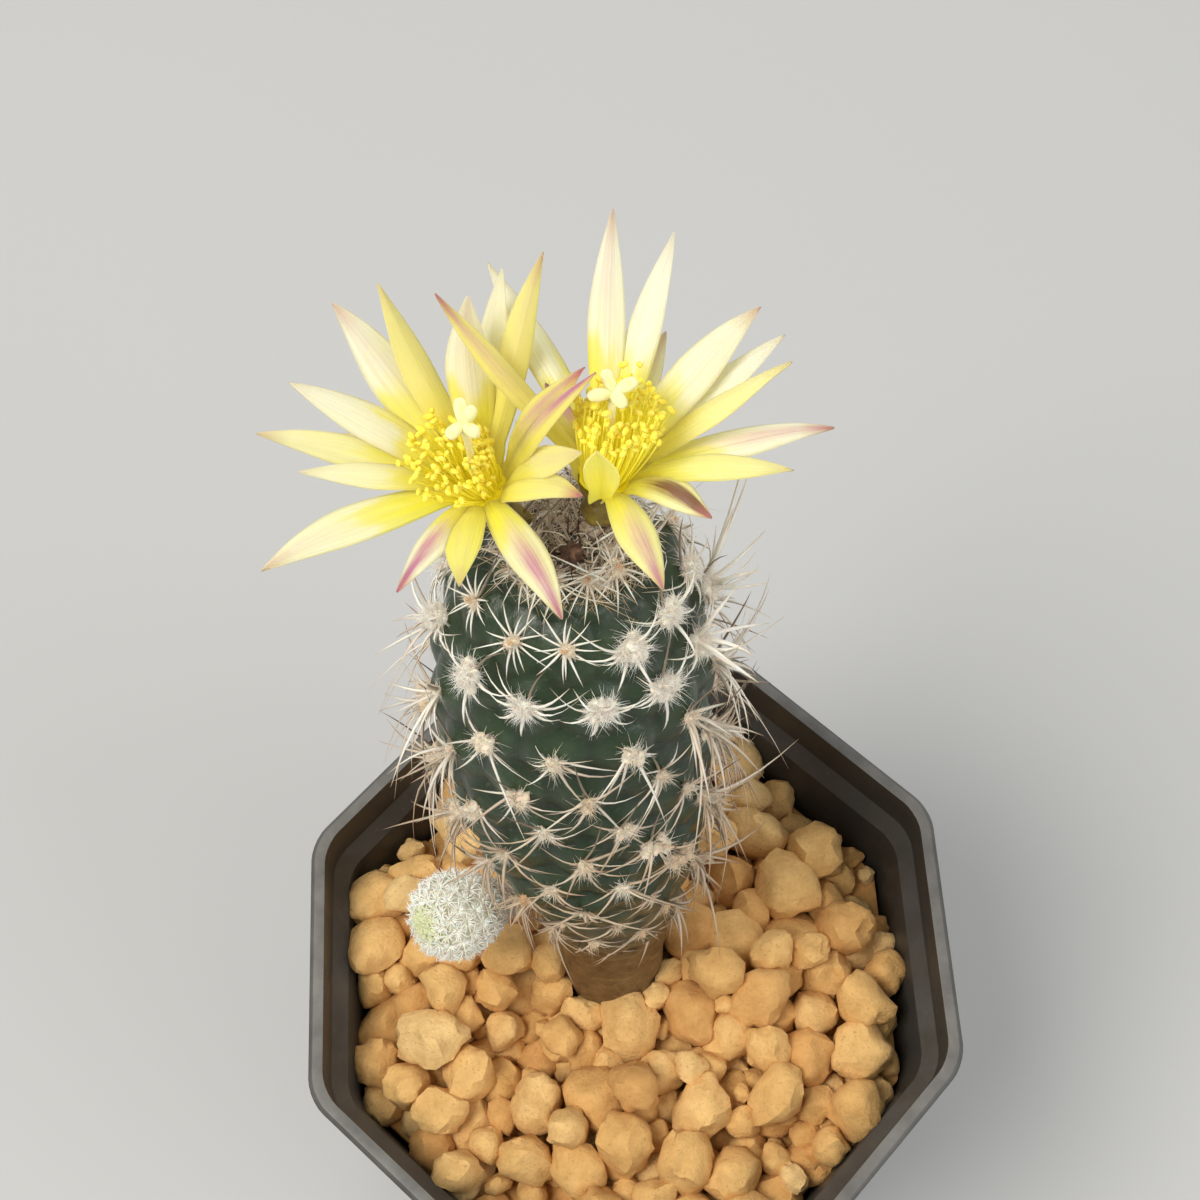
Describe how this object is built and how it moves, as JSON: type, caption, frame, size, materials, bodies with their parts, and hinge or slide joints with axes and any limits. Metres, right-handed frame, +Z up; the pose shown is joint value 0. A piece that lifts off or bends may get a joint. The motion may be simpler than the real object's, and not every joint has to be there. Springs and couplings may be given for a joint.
{
  "type": "potted turbinicarpus",
  "caption": "Small club-shaped cactus with star spines, two open pale yellow flowers and a side shoot, in a black octagonal plastic pot of tan clay grains.",
  "frame": {"origin": "middle of the pot's underside, in the plane it stands on", "axes": "+Z up, -Y towards the viewer of the picture, +X to the viewer's right; the pot's flats are square to X and Y"},
  "size_m": [0.075, 0.075, 0.1629],
  "materials": {
    "black_plastic": "satin moulded plastic",
    "clay_grains": "dry, rough and dusty",
    "green_stem": "waxy matt skin with woolly areoles and horny spines",
    "white_spined_shoot": "green skin under white horny spines",
    "withered_husk": "dry and papery",
    "flower_tube": "satin",
    "petals": "silky, partly translucent",
    "anthers": "matt pollen",
    "stigma": "matt, velvety"
  },
  "bodies": {
    "root": {"pot": "black_plastic", "soil": "clay_grains", "stem": "green_stem", "side_shoot": "white_spined_shoot", "withered_flower": "withered_husk", "flower_left_tube": "flower_tube", "flower_left_petals": "petals", "flower_left_stamens": "anthers", "flower_left_stigma": "stigma", "flower_right_tube": "flower_tube", "flower_right_petals": "petals", "flower_right_stamens": "anthers", "flower_right_stigma": "stigma"}
  },
  "joints": []
}
